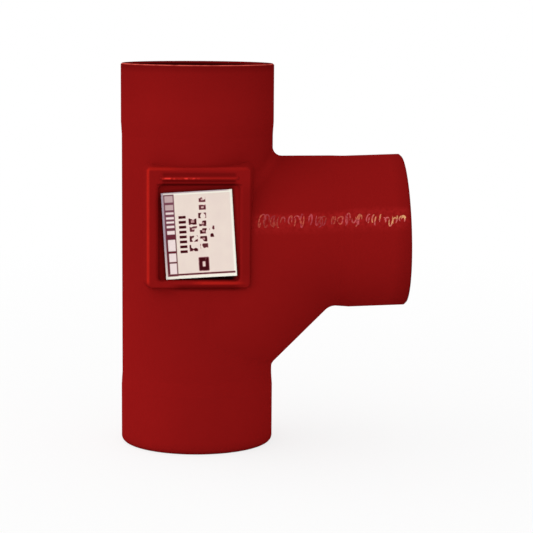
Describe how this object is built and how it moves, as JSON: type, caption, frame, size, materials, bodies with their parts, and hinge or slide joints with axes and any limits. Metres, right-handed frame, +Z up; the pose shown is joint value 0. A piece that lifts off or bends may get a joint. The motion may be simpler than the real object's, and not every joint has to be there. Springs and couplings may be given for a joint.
{
  "type": "sanitary tee",
  "caption": "Cast iron sanitary tee: a straight run and an equal branch that joins it through a swept throat, with plain spigot ends for couplings and a raised frame that holds a label.",
  "frame": {"origin": "middle of the run's lower end face, on the axis of the run", "axes": "+Z up the run, +X the way the branch leaves the run (the branch itself rises 2 degrees above +X), -Y the side that carries the label frame"},
  "size_m": [0.1089, 0.0599, 0.145],
  "materials": {
    "coated_iron": "gloss",
    "label_film": "satin"
  },
  "bodies": {
    "root": {"tee_body": "coated_iron", "identification_label": "label_film"}
  },
  "joints": []
}
